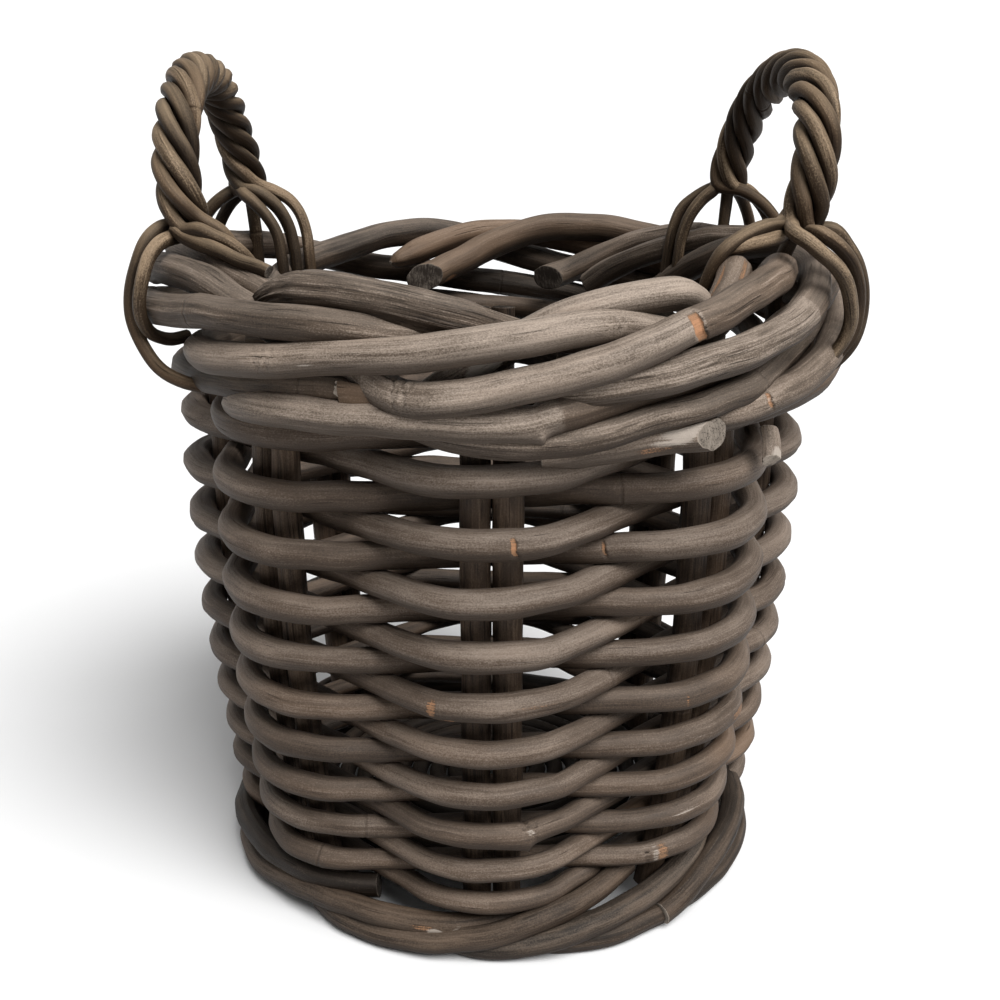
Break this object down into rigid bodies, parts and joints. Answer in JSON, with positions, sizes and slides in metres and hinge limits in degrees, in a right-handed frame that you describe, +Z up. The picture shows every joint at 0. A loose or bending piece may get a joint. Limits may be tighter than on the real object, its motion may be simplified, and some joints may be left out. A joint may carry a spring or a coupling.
{
  "type": "planter basket",
  "caption": "Round outdoor planter basket woven from weathered rattan rods, with a thick laid border and two twisted side handles.",
  "frame": {"origin": "on the basket's upright axis, at the height of the ground it stands on", "axes": "+Z up, +X towards the right handle seen from the front, -Y towards the front"},
  "size_m": [0.3579, 0.3578, 0.4229],
  "materials": {
    "stake_bark": "weathered grey-brown rattan bark, matte",
    "weaver_bark": "weathered grey-brown rattan bark, matte with fine grain",
    "border_bark": "weathered grey and tan rattan bark, matte with long grain",
    "foot_bark": "weathered dark brown rattan bark, matte",
    "handle_bark": "weathered olive-brown cane, satin"
  },
  "bodies": {
    "root": {"base_bar_back": "foot_bark", "base_bar_front": "foot_bark", "base_coil": "foot_bark", "border_rod_01": "border_bark", "border_rod_02": "border_bark", "border_rod_03": "border_bark", "border_rod_04": "border_bark", "border_rod_05": "border_bark", "border_rod_06": "border_bark", "border_rod_07": "border_bark", "border_rod_08": "border_bark", "border_rod_09": "border_bark", "border_rod_10": "border_bark", "border_rod_11": "border_bark", "border_rod_12": "border_bark", "border_rod_13": "border_bark", "border_rod_14": "border_bark", "border_rod_15": "border_bark", "border_rod_16": "border_bark", "foot_ring": "foot_bark", "foot_rod_01": "foot_bark", "foot_rod_02": "foot_bark", "foot_rod_03": "foot_bark", "foot_rod_04": "foot_bark", "foot_rod_05": "foot_bark", "foot_rod_06": "foot_bark", "foot_rod_07": "foot_bark", "handle_bow_left": "handle_bark", "handle_bow_right": "handle_bark", "handle_cane_left_1": "handle_bark", "handle_cane_left_2": "handle_bark", "handle_cane_left_3": "handle_bark", "handle_cane_left_4": "handle_bark", "handle_cane_left_5": "handle_bark", "handle_cane_right_1": "handle_bark", "handle_cane_right_2": "handle_bark", "handle_cane_right_3": "handle_bark", "handle_cane_right_4": "handle_bark", "handle_cane_right_5": "handle_bark", "stake_1a": "stake_bark", "stake_1b": "stake_bark", "stake_2a": "stake_bark", "stake_2b": "stake_bark", "stake_3a": "stake_bark", "stake_3b": "stake_bark", "stake_4a": "stake_bark", "stake_4b": "stake_bark", "stake_5a": "stake_bark", "stake_5b": "stake_bark", "stake_6a": "stake_bark", "stake_6b": "stake_bark", "stake_7a": "stake_bark", "stake_7b": "stake_bark", "stake_8a": "stake_bark", "stake_8b": "stake_bark", "weaver_a1": "weaver_bark", "weaver_a2": "weaver_bark", "weaver_a3": "weaver_bark", "weaver_b1": "weaver_bark", "weaver_b2": "weaver_bark"}
  },
  "joints": []
}
